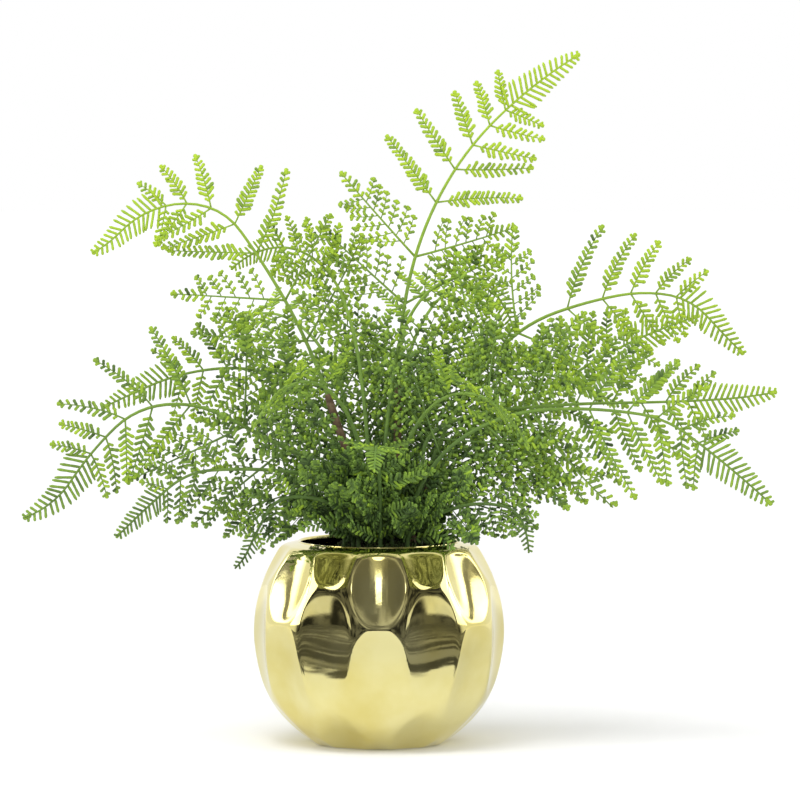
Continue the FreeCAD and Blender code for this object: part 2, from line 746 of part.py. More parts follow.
def main():
    nodes = [make_pot(), make_liner(), make_ballast(), make_foam(), make_moss()]
    nodes += make_wraps() + [make_wires()] + make_fronds()
    doc.recompute()
    for item in doc.Objects:
        if {"Invalid", "Error"} & set(item.State):
            raise RuntimeError(f"{item.Label} is {item.State}")
    for node in nodes:
        if node.Shape.isNull() or not node.Shape.isValid():
            raise RuntimeError(f"{node.Label} has no valid shape")
    os.makedirs("parts", exist_ok=True)
    for node in nodes:
        node.Shape.exportStep(f"parts/{node.Label}.step")
        shape = node.Shape
        print(f"{node.Label}: {len(shape.Solids)} solid(s), {shape.Volume:.0f} mm3")


main()
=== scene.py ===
# %% [markdown]
# # A brass planter pot with an artificial fern
#
# This lesson dresses a packed mechanical model: a round brass pot with pressed hexagonal facets,
# and a fern of moulded plastic fronds that lifts out of it in its liner. The mechanical model
# gives every size and place. The cells below make the surfaces that a plain solid can't show:
# the mirror-bright facets with soft ridges, thousands of small leaf lobes, wound paper and moss.

# %% Load the model that everything is built around
import math

import bpy
import numpy as np
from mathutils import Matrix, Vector


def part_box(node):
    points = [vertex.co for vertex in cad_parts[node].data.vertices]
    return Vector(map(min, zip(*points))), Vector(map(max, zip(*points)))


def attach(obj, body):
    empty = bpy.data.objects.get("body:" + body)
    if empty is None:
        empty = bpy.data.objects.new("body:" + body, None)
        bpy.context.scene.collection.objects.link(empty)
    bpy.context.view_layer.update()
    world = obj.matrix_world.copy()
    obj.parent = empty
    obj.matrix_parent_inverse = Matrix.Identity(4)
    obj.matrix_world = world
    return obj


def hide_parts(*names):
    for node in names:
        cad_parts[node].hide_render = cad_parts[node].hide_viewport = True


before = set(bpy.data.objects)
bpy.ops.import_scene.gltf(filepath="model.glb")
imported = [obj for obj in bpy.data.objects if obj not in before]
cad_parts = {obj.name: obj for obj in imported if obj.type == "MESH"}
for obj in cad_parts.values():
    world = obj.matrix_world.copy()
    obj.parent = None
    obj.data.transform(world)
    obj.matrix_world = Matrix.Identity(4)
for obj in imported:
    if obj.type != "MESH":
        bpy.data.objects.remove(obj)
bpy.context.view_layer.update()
MM = 0.001
rng = np.random.default_rng(7)

# %% [markdown]
# ## Camera and studio
#
# The camera stands far back with a long lens, a little above the rim, so the pot's mouth shows
# as a thin ellipse. A mirror shows its surroundings more than itself, so the studio matters as
# much as the metal: a pale floor for the lower facets, a dim room behind the camera for the
# upper ones, large soft boxes at both sides, and one narrow strip light above the lens.

# %% Camera
CAMERA_DISTANCE = 2.39
CAMERA_TILT = math.radians(3.5)
VIEW_WIDTH = 0.3985
VIEW_CENTRE = Vector((0.0105, 0.0, 0.171))
SENSOR = 36.0

camera = bpy.data.objects.new("camera", bpy.data.cameras.new("camera"))
bpy.context.collection.objects.link(camera)
away = Vector((0.0, -math.cos(CAMERA_TILT), math.sin(CAMERA_TILT)))
camera.location = VIEW_CENTRE + away * CAMERA_DISTANCE
camera.rotation_mode = "QUATERNION"
camera.rotation_quaternion = (-away).to_track_quat("-Z", "Y")
camera.data.sensor_width = SENSOR
camera.data.lens = SENSOR * CAMERA_DISTANCE / VIEW_WIDTH
camera.data.clip_end = 60.0
bpy.context.scene.camera = camera
print(f"camera {CAMERA_DISTANCE} m away, lens {camera.data.lens:.0f} mm")

# %% [markdown]
# Shader maths reads badly as a list of nodes, so a small class wraps one socket and lets
# expressions such as `1 - mask * 0.5` add the Math nodes themselves. Every other node comes from
# one method that takes its type, its settings and what its sockets hold.


# %% A socket that can be used in expressions
class Value:
    """One number in a shader: arithmetic on it adds Math nodes to its tree."""

    def __init__(self, nodes, socket):
        self.nodes, self.socket = nodes, socket

    def _math(self, operation, *values):
        node = self.nodes.add("ShaderNodeMath", {"operation": operation}, dict(enumerate(values)))
        return Value(self.nodes, node.outputs[0])

    def __add__(self, other):
        return self._math("ADD", self, other)

    def __sub__(self, other):
        return self._math("SUBTRACT", self, other)

    def __rsub__(self, other):
        return self._math("SUBTRACT", other, self)

    def __mul__(self, other):
        return self._math("MULTIPLY", self, other)

    def __truediv__(self, other):
        return self._math("DIVIDE", self, other)

    __radd__, __rmul__ = __add__, __mul__

    def power(self, exponent):
        return self._math("POWER", self, exponent)

    def step(self, low, high):
        """0 below low, 1 above high, and a smooth slope between."""
        settings = {"interpolation_type": "SMOOTHSTEP"}
        sockets = {"Value": self, "From Min": low, "From Max": high}
        node = self.nodes.add("ShaderNodeMapRange", settings, sockets)
        return Value(self.nodes, node.outputs[0])


# %% A tree of nodes
class Nodes:
    """Adds nodes to a material's or the world's tree."""

    def __init__(self, owner):
        owner.use_nodes = True
        self.tree = owner.node_tree
        self.tree.nodes.clear()

    def add(self, kind, settings=None, sockets=None):
        """A node of a type, with its settings first and then values or links for its sockets."""
        node = self.tree.nodes.new(kind)
        for name, value in (settings or {}).items():
            if name == "stops":
                self._stops(node.color_ramp, value)
            else:
                setattr(node, name, value)
        for name, value in (sockets or {}).items():
            socket = node.inputs[name]
            if isinstance(value, Value):
                self.tree.links.new(value.socket, socket)
            elif isinstance(value, bpy.types.NodeSocket):
                self.tree.links.new(value, socket)
            else:
                socket.default_value = value
        return node

    def _stops(self, ramp, stops):
        for index, (place, colour) in enumerate(stops):
            stop = ramp.elements[index] if index < 2 else ramp.elements.new(place)
            stop.position, stop.color = place, (*colour, 1.0)

    def value(self, kind, output=0, settings=None, sockets=None):
        return Value(self, self.add(kind, settings, sockets).outputs[output])

    def noise(self, scale, detail=3.0, where=None):
        sockets = {"Vector": where or self.place(), "Scale": scale, "Detail": detail}
        return self.value("ShaderNodeTexNoise", 0, None, sockets)

    def place(self):
        """Object coordinates, which are the row's metres."""
        return self.add("ShaderNodeTexCoord").outputs["Object"]

    def attribute(self, name):
        settings = {"attribute_type": "GEOMETRY", "attribute_name": name}
        return self.value("ShaderNodeAttribute", "Fac", settings)

    def ramp(self, factor, stops):
        return self.add("ShaderNodeValToRGB", {"stops": stops}, {"Fac": factor}).outputs["Color"]

    def bump(self, height, strength, distance):
        sockets = {"Height": height, "Strength": strength, "Distance": distance}
        return self.add("ShaderNodeBump", None, sockets).outputs["Normal"]

    def surface(self, **sockets):
        """Ends the tree in a Principled shader whose sockets are named with _ for a space."""
        named = {name.replace("_", " "): value for name, value in sockets.items()}
        shader = self.add("ShaderNodeBsdfPrincipled", None, named)
        self.add("ShaderNodeOutputMaterial", None, {"Surface": shader.outputs[0]})


def new_material(name):
    material = bpy.data.materials.new(name)
    return material, Nodes(material)


# %% [markdown]
# The room is the world's own colour, worked out from the direction of each ray. It is pale all
# round, but a mirror also needs something dark to show, so reflections alone see a dim room on
# the front side, with a grey wall and one tall strip light in the middle of it, a pale patch low
# at each side, green leaves above and a bright panel further out with a dark sliver in it. To
# reflections alone the table ends a hand's width from the pot in painted dark, the floor is a
# little dimmer, and a painted glow round the foot lifts the pot's shadow there. Lights are plain
# soft areas, and two of them are hidden from reflections, so they brighten the leaves and leave
# the metal's darks dark.

# %% The room
# brightness of what is seen directly, of what lights matt things, and of the parts a mirror sees
ROOM_PALE, ROOM_FILL, ROOM_DIM, ROOM_GREY = 1.0, 0.72, 0.022, 0.42
CLUTTER_GLOW, STRIP_GLOW, PATCH_GLOW, LEAVES_GLOW = 0.13, 3.4, 0.80, 0.45
PANEL_GLOW, SLIVER_DARK = 2.2, 2.9
LEAVES_TINT = (0.80, 0.88, 0.42)

bpy.context.scene.view_settings.view_transform = "Standard"
world = bpy.data.worlds.new("studio")
bpy.context.scene.world = world
room = Nodes(world)
direction = room.add("ShaderNodeTexCoord").outputs["Generated"]
# Each area below is a range of aside, 0 ahead and 1 square to it, and a range of up, 0 level and
# 1 overhead, with soft ends.
split = room.add("ShaderNodeSeparateXYZ", None, {"Vector": direction})
right, back, up = (Value(room, split.outputs[i]) for i in range(3))
aside = (right * right).power(0.5)
flat = (right * right + back * back + 1e-6).power(0.5)
in_front = (back * -1.0 / flat).step(0.05, 0.30)
mirrored = room.value("ShaderNodeLightPath", "Is Glossy Ray")
dim = in_front * (1 - up.step(0.80, 0.95))
clutter = room.noise(7.0, 3.0, direction).step(0.40, 0.62)
middle = (1 - aside.step(0.12, 0.42)) * up.step(0.16, 0.34) * (1 - up.step(0.66, 0.84))
strip = (1 - aside.step(0.026, 0.040)) * up.step(0.582, 0.60) * (1 - up.step(0.622, 0.64))
patch = aside.step(0.60, 0.63) * (1 - aside.step(0.80, 0.84))
patch = patch * up.step(0.05, 0.08) * (1 - up.step(0.19, 0.23))
reflected = ROOM_DIM + clutter * CLUTTER_GLOW + middle * (0.35 + clutter * 0.65) * ROOM_GREY
reflected = reflected + strip * STRIP_GLOW + patch * PATCH_GLOW
leafy = in_front * aside.step(0.40, 0.46) * (1 - aside.step(0.74, 0.80)) * up.step(0.56, 0.62)
leaves = room.noise(60.0, 4.0, direction).step(0.47, 0.60)
reflected = reflected + leafy * leaves * LEAVES_GLOW
sliver = aside.step(0.884, 0.890) * (1 - aside.step(0.904, 0.910)) * up.step(0.24, 0.28)
panel = aside.step(0.84, 0.87) * up.step(0.16, 0.24) * (1 - up.step(0.62, 0.72))
diffuse = room.value("ShaderNodeLightPath", "Is Diffuse Ray")
panels = panel * (1 - dim) * (PANEL_GLOW - sliver * SLIVER_DARK)
glow = ROOM_PALE - diffuse * (ROOM_PALE - ROOM_FILL)
glow = glow + mirrored * (dim * (reflected - ROOM_PALE) + panels)
tint = room.ramp(leafy * mirrored, [(0.0, (1.0, 1.0, 1.0)), (1.0, LEAVES_TINT)])
background = room.add("ShaderNodeBackground", None, {"Color": tint, "Strength": glow})
room.add("ShaderNodeOutputWorld", None, {"Surface": background.outputs[0]})
print("a pale room, dim in front where only reflections see it")


# %% Soft boxes
def area_light(name, place, aim, width, height, power, mirrored=True):
    """A soft box that faces a point; mirrored says whether shiny things show it."""
    light = bpy.data.lights.new(name, "AREA")
    light.shape, light.size, light.size_y, light.energy = "RECTANGLE", width, height, power
    lamp = bpy.data.objects.new(name, light)
    bpy.context.collection.objects.link(lamp)
    lamp.location = place
    lamp.rotation_mode = "QUATERNION"
    lamp.rotation_quaternion = (Vector(aim) - Vector(place)).to_track_quat("-Z", "Y")
    lamp.visible_glossy = mirrored
    return lamp


MIDDLE = (0.0, 0.0, 0.17)
area_light("side_left", (-1.5, -0.35, 0.75), MIDDLE, 0.9, 1.2, 9.0)
area_light("side_right", (1.5, -0.35, 0.75), MIDDLE, 0.9, 1.2, 6.0)
area_light("top", (-0.3, -0.5, 1.8), MIDDLE, 0.8, 0.8, 17.0, mirrored=False)
area_light("front", (0.3, -2.4, 1.1), MIDDLE, 1.6, 1.2, 10.0, mirrored=False)
print("four soft boxes")

# %% Floor
# only a mirror sees the floor dimmed, its ragged edge painted dark and its glow round the foot:
# painted reflection and painted light
FLOOR_SIZE, FLOOR_WHITE, FLOOR_MIRRORED = 24.0, 0.90, 0.20
TABLE_EDGE, TABLE_RAGGED = 0.115, 0.09
FADE_START, FADE_END = 0.35, 1.6
PAINTED_FOOT_GLOW = 0.16

half = FLOOR_SIZE / 2
floor_mesh = bpy.data.meshes.new("floor")
corners = [(-half, -half, 0), (half, -half, 0), (half, half, 0), (-half, half, 0)]
floor_mesh.from_pydata(corners, [], [(0, 1, 2, 3)])
floor = bpy.data.objects.new("floor", floor_mesh)
bpy.context.collection.objects.link(floor)
backdrop, nodes = new_material("studio_paper")
split = nodes.add("ShaderNodeSeparateXYZ", None, {"Vector": nodes.place()})
x, y = (Value(nodes, split.outputs[i]) for i in range(2))
glossy = nodes.value("ShaderNodeLightPath", "Is Glossy Ray")
stretched = nodes.add("ShaderNodeCombineXYZ", None, {"X": x, "Y": y * 0.12}).outputs[0]
# Painted reflection and painted light for a mirror: the table ends in a ragged edge painted dark
# with streaks, the floor is white far away, and a painted glow round the foot lifts the pot's
# shadow.
ragged = (x * x).power(0.5) + (nodes.noise(24.0, 2.0) - 0.5) * TABLE_RAGGED
edge = ragged.step(TABLE_EDGE, TABLE_EDGE * 1.15) * (y * -1.0).step(0.02, 0.05) * glossy
far = (x * x + y * y).power(0.5).step(FADE_START, FADE_END)
# painted light: the floor glows round the pot's foot for reflections only, lifting the shadow there
near = glossy * (1 - (x * x + y * y).power(0.5).step(0.06, 0.20))
# painted reflection: dark streaks past the table edge, which only a mirror sees
painted_reflection_streaks = nodes.noise(16.0, 2.0, stretched).step(0.50, 0.60) * 0.17 + 0.022
white = (FLOOR_WHITE - glossy * FLOOR_MIRRORED) * (1 - edge) * (1 - far) + edge * painted_reflection_streaks
nodes.surface(
    Base_Color=white, Roughness=nodes.noise(6.0) * 0.1 + 0.75,
    Emission_Color=far * (1 - edge) + near * PAINTED_FOOT_GLOW, Emission_Strength=1.0,
)
floor_mesh.materials.append(backdrop)
print("floor", FLOOR_SIZE, "m wide")

# %% [markdown]
# ## Surfaces from arrays
#
# Every new piece is a grid of points or a bundle of swept tubes, worked out as whole arrays and
# handed to the mesh at once. Points are in millimetres until they are stored.


# %% Storing a mesh
def store(name, points, quads, triangles, material, attributes=None, smooth=True):
    """Makes an object at the origin from points in millimetres and index arrays of its faces."""
    mesh = bpy.data.meshes.new(name)
    corners = np.concatenate([quads.ravel(), triangles.ravel()]).astype(np.int32)
    sizes = np.concatenate([np.full(len(quads), 4), np.full(len(triangles), 3)]).astype(np.int32)
    mesh.vertices.add(len(points))
    mesh.vertices.foreach_set("co", (points * MM).astype(np.float32).ravel())
    mesh.loops.add(len(corners))
    mesh.loops.foreach_set("vertex_index", corners)
    mesh.polygons.add(len(sizes))
    mesh.polygons.foreach_set("loop_start", np.concatenate([[0], np.cumsum(sizes)[:-1]]))
    mesh.polygons.foreach_set("loop_total", sizes)
    mesh.update(calc_edges=True)
    mesh.polygons.foreach_set("use_smooth", np.full(len(sizes), smooth))
    for key, values in (attributes or {}).items():
        layer = mesh.attributes.new(key, "FLOAT", "POINT")
        layer.data.foreach_set("value", values.astype(np.float32).ravel())
    mesh.materials.append(material)
    piece = bpy.data.objects.new(name, mesh)
    bpy.context.collection.objects.link(piece)
    print(f"{name}: {len(quads) * 2 + len(triangles)} triangles")
    return piece


def wrapped_grid(rows, columns, first=0):
    """Quads of a grid whose columns close into a ring, rows running away from its first row."""
    i, j = np.meshgrid(np.arange(rows - 1), np.arange(columns), indexing="ij")
    k = (j + 1) % columns
    row, above = i * columns, (i + 1) * columns
    quads = np.stack([row + j, row + k, above + k, above + j], -1)
    return quads.reshape(-1, 4) + first


def end_fans(rows, columns):
    """Triangles that close such a grid at both ends, about the two points stored after it."""
    j = np.arange(columns)
    k = (j + 1) % columns
    last, low, high = (rows - 1) * columns, rows * columns, rows * columns + 1
    near = np.stack([k, j, 0 * j + low], -1)
    far = np.stack([last + j, last + k, 0 * j + high], -1)
    return np.concatenate([near, far])


def turned(name, radii, heights, columns, material, centre=(0.0, 0.0)):
    """A closed round surface: rows of rings from the pole below to the pole above.

    radii and heights hold a ring to a row and a point to a column, and a ring's point at angle a
    lies at (radius cos a, radius sin a, height). A pole closes each end."""
    rows = len(radii)
    angle = np.arange(columns) * (2 * math.pi / columns)
    grid = np.stack([radii * np.cos(angle), radii * np.sin(angle), heights + 0 * angle], -1)
    poles = np.array([[0, 0, heights[0].mean()], [0, 0, heights[-1].mean()]])
    points = np.concatenate([grid.reshape(-1, 3), poles]) + [*centre, 0.0]
    quads, fans = wrapped_grid(rows, columns), end_fans(rows, columns)
    return store(name, points, quads, fans, material)


# %% [markdown]
# ## The brass pot
#
# The real pot is pressed from thin brass, and its facets are hollow across but still bowed up
# and down. A boolean cut makes them with knife edges and a mesh of long slivers, which a mirror
# finish shows at once. So the outside is one smooth formula. At each point of the plain outline
# every facet asks to be pressed inward by a depth that falls off as the square of the distance
# from the facet's centre, and the deepest wins. A soft maximum rounds the ridge where two meet.

# %% The pot's outline
POT_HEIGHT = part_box("pot_shell")[1].z / MM
BELLY_RADIUS, BELLY_HEIGHT = 62.7, 54.0
LOWER_ARC, UPPER_ARC, SHOULDER_ARC = 66.0, 79.0, 6.0
LIP_SLOPE, LIP_ROLL, LIP_STEP = math.radians(13.0), 1.1, 0.35
MOUTH_RADIUS, POT_WALL = 38.9, 1.5


def shoulder():
    """Where the shoulder's arc touches the upper arc, as an angle, and the shoulder's centre."""
    out, rise = math.sin(LIP_SLOPE), math.cos(LIP_SLOPE)
    high = BELLY_RADIUS - UPPER_ARC
    lip_r, lip_z = MOUTH_RADIUS + LIP_ROLL, POT_HEIGHT - LIP_STEP
    reach = (lip_r - high) * out + (lip_z - BELLY_HEIGHT) * rise - SHOULDER_ARC
    turn = math.pi / 2 - LIP_SLOPE - math.acos(reach / (UPPER_ARC - SHOULDER_ARC))
    centre_r = high + (UPPER_ARC - SHOULDER_ARC) * math.cos(turn)
    centre_z = BELLY_HEIGHT + (UPPER_ARC - SHOULDER_ARC) * math.sin(turn)
    return turn, centre_r, centre_z


SHOULDER_TURN, SHOULDER_R, SHOULDER_Z = shoulder()
SHOULDER_START = UPPER_ARC * SHOULDER_TURN
SHOULDER_END = SHOULDER_START + SHOULDER_ARC * (math.pi / 2 - LIP_SLOPE - SHOULDER_TURN)


def outline(run):
    """Radius, height and outward tilt of the plain outline at a run along it from the belly.

    Below the belly (negative runs) it is the lower arc, then the upper arc, then the tight
    shoulder, then the straight lip, each tangent to the last."""
    tilt = np.where(run < 0, run / LOWER_ARC, run / UPPER_ARC)
    on_shoulder = np.clip(run, SHOULDER_START, SHOULDER_END) - SHOULDER_START
    tilt = np.where(run > SHOULDER_START, SHOULDER_TURN + on_shoulder / SHOULDER_ARC, tilt)
    arc = np.where(run < 0, LOWER_ARC, UPPER_ARC)
    radius = BELLY_RADIUS - arc + arc * np.cos(tilt)
    height = BELLY_HEIGHT + arc * np.sin(tilt)
    bend = run > SHOULDER_START
    along = np.maximum(run - SHOULDER_END, 0.0)
    radius = np.where(bend, SHOULDER_R + SHOULDER_ARC * np.cos(tilt) - along * np.sin(tilt), radius)
    height = np.where(bend, SHOULDER_Z + SHOULDER_ARC * np.sin(tilt) + along * np.cos(tilt), height)
    return radius, height, tilt


print(f"shoulder starts {SHOULDER_START:.1f} mm above the belly along the wall")

# %% The pressed facets
FACET_COUNT, FACET_SCOOP = 7, 93.0
RIDGE_SOFTNESS = 0.22
BASE_TURN = -math.asin(BELLY_HEIGHT / LOWER_ARC)
# arc it lies on, the arc's span, share of it to the centre, depth, bow up and down, half a step
FACETS = [
    (UPPER_ARC, SHOULDER_TURN, 0.6604, 2.6, 600.0, False),
    (UPPER_ARC, SHOULDER_TURN, 0.9675, 1.6, 400.0, True),
    (LOWER_ARC, BASE_TURN, 0.286, 3.0, 140.0, False),
    (LOWER_ARC, BASE_TURN, 0.0455, 3.0, 135.0, True),
    (LOWER_ARC, BASE_TURN, 1.1475, 1.5, 180.0, False),
    (LOWER_ARC, BASE_TURN, 0.8743, 2.0, 180.0, True),
]


def drop(run, centre, bow):
    """How far the outline falls away from a facet's bowed line, at a run from its centre.

    It is half the square of the distance times the difference of the two curvatures, plus half
    the square of the run past each place where the outline takes up another arc."""
    lower, upper, tight = 1 / LOWER_ARC, 1 / UPPER_ARC, 1 / SHOULDER_ARC
    own = lower if centre < 0 else upper
    below, above = np.minimum(run, 0.0), np.maximum(run, 0.0)
    other = above**2 * (upper - lower) if centre < 0 else below**2 * (lower - upper)
    past = np.maximum(run - SHOULDER_START, 0.0)
    return ((run - centre) ** 2 * (own - 1 / bow) + other + past**2 * (tight - upper)) / 2


def pressed(run, angle, softness):
    """How far the wall is pressed inward at a run up the outline and an angle round the pot.

    A facet of depth d asks for d - x*x*a - drop, where x is the distance across from its centre
    and a is half the sum of the pot's and the scoop's curvatures across. The soft maximum of all
    the wishes and zero is softness times the log of the sum of exp(wish / softness)."""
    radius, _, tilt = outline(run)
    across_bend = (np.cos(tilt) / radius + 1 / FACET_SCOOP) / 2
    step = 2 * math.pi / FACET_COUNT
    total = np.ones(np.broadcast_shapes(run.shape, angle.shape))
    for arc, span, share, depth, bow, half_step in FACETS:
        offset = angle + math.pi / 2 - (step / 2 if half_step else 0.0)
        across = radius * ((offset + step / 2) % step - step / 2)
        wish = depth - across**2 * across_bend - drop(run, share * span * arc, bow)
        total = total + np.exp(np.clip(wish / softness, -60, 60))
    return softness * np.log(total)


# %% The pot's surface
POT_COLUMNS, WALL_ROWS, ROLL_ROWS, INSIDE_ROWS = 392, 168, 14, 34
FOOT_RUN, FOOT_SOFTNESS = -72.0, 0.35
LIP_RUN = SHOULDER_END + 6.6


def pot_wall_points(run, angle, skin, softness):
    """The facetted wall moved inward by skin, with everything below its floor pressed flat."""
    radius, height, tilt = outline(run)
    inward = pressed(run, angle, softness) + skin
    r = radius - inward * np.cos(tilt)
    z = height - inward * np.sin(tilt)
    floor_z = skin + FOOT_SOFTNESS * np.logaddexp(0.0, (z - skin) / FOOT_SOFTNESS)
    return r, floor_z + 0 * r


def make_pot(material):
    """Outside from the foot to the lip, round the rolled edge, and down the inside."""
    angle = np.arange(POT_COLUMNS)[None, :] * (2 * math.pi / POT_COLUMNS)
    rise = np.linspace(FOOT_RUN, LIP_RUN, WALL_ROWS)[:, None]
    outside = pot_wall_points(rise, angle, 0.0, RIDGE_SOFTNESS)
    turn = np.linspace(math.radians(70), math.radians(250), ROLL_ROWS)[:, None] + 0 * angle
    roll_r = MOUTH_RADIUS + LIP_ROLL + LIP_ROLL * np.cos(turn)
    roll_z = POT_HEIGHT - LIP_ROLL + LIP_ROLL * np.sin(turn)
    fall = np.linspace(LIP_RUN - 1.2, FOOT_RUN, INSIDE_ROWS)[:, None]
    inside = pot_wall_points(fall, angle, POT_WALL, 0.5)
    radii = np.concatenate([outside[0], roll_r, inside[0]])
    heights = np.concatenate([outside[1], roll_z, inside[1]])
    return turned("brass_pot", radii, heights, POT_COLUMNS, material)


# %% [markdown]
# The finish is a pale gold mirror. Its colour is the metal's own reflection, so roughness stays
# very low. What makes it look real is unevenness: a slow wave in the sheet, a faint grain from
# polishing, and a slightly cloudier film here and there.

# %% Gold finish
PALE_GOLD = (0.82, 0.75, 0.36)
DEEP_GOLD = (0.74, 0.64, 0.22)


def gold_finish():
    material, nodes = new_material("pale_gold_mirror")
    cloud = nodes.noise(28.0, 4.0)
    colour = nodes.ramp(cloud, [(0.35, DEEP_GOLD), (0.62, PALE_GOLD)])
    wave = nodes.noise(55.0, 1.0) * 0.8 + nodes.noise(900.0, 2.0) * 0.03
    film = nodes.noise(120.0, 5.0).step(0.45, 0.8)
    nodes.surface(
        Base_Color=colour,
        Metallic=1.0,
        Roughness=film * 0.06 + 0.045,
        Normal=nodes.bump(wave, 0.12, 0.0012),
    )
    return material


pot = make_pot(gold_finish())
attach(pot, "pot")
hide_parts("pot_shell")

# %% [markdown]
# ## Swept bundles
#
# A frond is hundreds of small things of one kind: lobes, and the ribs that carry them. They are
# all tubes with a changing oval section, so one function sweeps a whole bundle at once. Each
# lobe has five rings of six points, so thousands of them stay light.


# %% Sweeping many oval tubes at once
def unit(vectors):
    return vectors / np.maximum(np.linalg.norm(vectors, axis=-1, keepdims=True), 1e-9)


def sweep(centres, across, face, widths, thicknesses, sides):
    """Closed tubes: each ring is its centre + across * w cos a + face * t sin a.

    centres, across and face hold (tube, ring, 3), and widths and thicknesses (tube, ring).
    Returns points, quads and triangles."""
    tubes, rings = widths.shape
    angle = np.arange(sides) * (2 * math.pi / sides)
    wide = widths[..., None, None] * np.cos(angle)[:, None] * across[:, :, None, :]
    thick = thicknesses[..., None, None] * np.sin(angle)[:, None] * face[:, :, None, :]
    shell = (centres[:, :, None, :] + wide + thick).reshape(tubes, rings * sides, 3)
    points = np.concatenate([shell, centres[:, :1], centres[:, -1:]], axis=1)
    first = (np.arange(tubes) * points.shape[1])[:, None, None]
    quads = (wrapped_grid(rings, sides) + first).reshape(-1, 4)
    fans = (end_fans(rings, sides) + first).reshape(-1, 3)
    return points.reshape(-1, 3), quads, fans


class Bundle:
    """Collects swept tubes and a shade for each, and stores them as one piece."""

    def __init__(self):
        self.points, self.quads, self.triangles, self.shades, self.total = [], [], [], [], 0

    def add(self, centres, across, face, widths, thicknesses, sides, shades):
        """shades holds (tube, ring), and each ring's points take its shade."""
        points, quads, triangles = sweep(centres, across, face, widths, thicknesses, sides)
        shell = np.repeat(shades, sides, axis=1)
        shade = np.concatenate([shell, shades[:, :1], shades[:, -1:]], axis=1)
        self.points.append(points)
        self.quads.append(quads + self.total)
        self.triangles.append(triangles + self.total)
        self.shades.append(shade.ravel())
        self.total += len(points)

    def store(self, name, material):
        joined = (np.concatenate(part) for part in (self.points, self.quads, self.triangles))
        return store(name, *joined, material, {"shade": np.concatenate(self.shades)})


print("sweep ready")

# %% [markdown]
# ## Fern fronds
#
# Each frond is one moulding in the mechanical model too, where its leaflets are plain kites.
# Here the same stems, repeated from that design, carry the real shape: leaflets with a row of
# rounded lobes down each side and a club at the tip, branched leaflets near the foot, and a comb
# of fine needles at the end. Copying a modelled leaf by hand along each stem would do it too,
# but a rule that grows every lobe lets each one differ a little, as wired plastic leaves do.

# %% How each frond grows
# stand angle, stand radius, azimuth, (length, end elevation) of each arc, first and last roll,
# size
FRONDS = {
    "top": (15, 9.3, 8, [(80, 89), (32, 83), (36, 72), (42, 57), (34, 44), (53, 31)], 84, 96, 1.0),
    "left_high": (165, 3.0, 178, [(10, 72), (68, 71), (54, 60), (38, 54), (26, 8), (16, -14),
                                  (26, -46), (18, -28)], 80, 100, 0.95),
    "right_high": (-7, 16.5, -3, [(8, 78), (34, 70), (63, 49), (36, 20), (32, 11), (24, -8),
                                  (24, -48), (26, -44)], 80, 102, 0.95),
    "right_long": (-20, 22.0, -6, [(44, 87), (20, 22), (32, 6), (60, 1), (46, 4), (28, 12)],
                   78, 92, 0.95),
    "right_arch": (-38, 18.0, -12, [(34, 60), (34, 30), (40, 4), (46, -8), (26, -36), (54, -42)],
                   104, 78, 1.0),
    "right_mid": (30, 17.0, 12, [(14, 60), (30, 44), (36, 34), (42, 32), (34, 24), (38, 16)],
                  62, 84, 0.9),
    "right_low": (-50, 22.0, -22, [(10, 36), (28, 14), (22, -12), (14, -70), (14, -88)],
                  50, 84, 0.42),
    "right_back": (52, 20.0, 34, [(44, 66), (34, 34), (36, 6), (38, -18), (34, -34)], 24, 52, 0.85),
    "back_right": (74, 13.0, 62, [(70, 70), (40, 46), (36, 18), (34, -14), (28, -34)], 12, 34, 0.9),
    "back_mid": (102, 21.0, 98, [(52, 66), (36, 34), (38, 0), (34, -26), (26, -38)], 4, -16, 0.85),
    "back_left": (132, 13.0, 128, [(64, 70), (40, 40), (36, 10), (34, -18), (30, -34)],
                  -14, -36, 0.9),
    "left_mid": (160, 16.0, 172, [(52, 72), (36, 30), (32, -2), (42, -24), (26, -26)],
                 104, 76, 0.95),
    "left_long": (200, 18.0, 190, [(32, 62), (20, 24), (28, 30), (20, 24), (28, -8), (26, -44),
                                   (34, -56), (30, -18)], 70, 100, 1.0),
    "left_low": (222, 17.0, 205, [(28, 46), (26, 8), (44, -2), (24, -38), (36, -42)], 58, 92, 0.75),
    "left_short": (240, 20.0, 203, [(18, 40), (32, -6), (14, -58), (20, -64), (12, -40)],
                   58, 84, 0.45),
    "centre_right": (-80, 6.0, 20, [(94, 80), (30, 50), (26, 6), (18, -50), (26, -72)],
                     70, 96, 0.6),
    "centre_left": (-115, 9.0, 158, [(88, 82), (36, 68), (26, 32), (22, -8), (26, -44)],
                    64, 90, 0.68),
    "front_left": (250, 14.0, 238, [(44, 72), (34, 40), (34, 4), (30, -30), (24, -46)],
                   26, 50, 0.8),
    "front_mid": (272, 21.0, 268, [(24, 70), (28, 34), (30, -6), (26, -42)], 8, -14, 0.55),
    "front_right": (300, 13.0, 308, [(40, 70), (34, 38), (34, 2), (30, -30), (26, -48)],
                    -30, -54, 0.8),
}
WRAPPED = {"top": 1, "left_high": 2, "right_high": 2}
STEM_RADIUS, WRAP_RADIUS, BARE_STEM = 1.1, 2.1, 22.0
FOAM_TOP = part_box("foam_plug")[1].z / MM
MOSS_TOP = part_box("moss_mat")[1].z / MM


